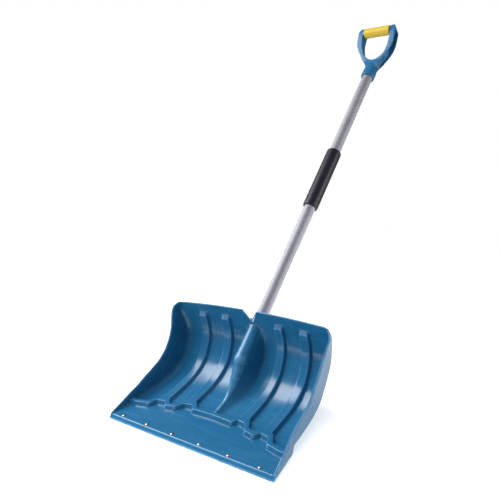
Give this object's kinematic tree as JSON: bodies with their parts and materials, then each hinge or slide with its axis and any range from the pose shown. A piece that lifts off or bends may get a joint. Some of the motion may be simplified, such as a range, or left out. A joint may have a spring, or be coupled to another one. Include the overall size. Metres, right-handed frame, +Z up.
{
  "type": "snow shovel",
  "caption": "Snow shovel with a deep ribbed plastic scoop, a metal wear plate under the lip, a straight aluminium shaft, a foam mid grip and a D-grip with a soft sleeve.",
  "frame": {"origin": "centre of the flat underside of the wear plate, on the floor", "axes": "+X to the right when looking at the hollow side of the blade from in front of the cutting edge, +Y from the cutting edge towards the D-grip, +Z up off the floor"},
  "size_m": [0.4698, 1.0854, 0.8272],
  "materials": {
    "blade_plastic": "glossy injection-moulded polypropylene, blue, with faint flow lines",
    "grip_plastic": "semi-gloss moulded plastic, the same blue",
    "wear_steel": "galvanised sheet with light scratches along the edge",
    "rivet_steel": "bright zinc-plated domed rivet",
    "shaft_aluminium": "satin anodised tube with fine drawn lines",
    "foam": "matt closed-cell foam, black, fine pores",
    "sleeve_rubber": "soft satin sleeve, warm yellow",
    "zinc_hardware": "zinc-plated fastener"
  },
  "bodies": {
    "root": {"blade": "blade_plastic", "wear_plate": "wear_steel", "lip_rivet_1": "rivet_steel", "lip_rivet_2": "rivet_steel", "lip_rivet_3": "rivet_steel", "lip_rivet_4": "rivet_steel", "lip_rivet_5": "rivet_steel", "lip_rivet_6": "rivet_steel", "shaft_tube": "shaft_aluminium", "foam_grip": "foam", "d_grip": "grip_plastic", "grip_sleeve": "sleeve_rubber", "socket_bolt": "zinc_hardware", "socket_washer_head": "zinc_hardware", "socket_washer_nut": "zinc_hardware", "socket_nut": "zinc_hardware", "grip_screw": "zinc_hardware"}
  },
  "joints": []
}
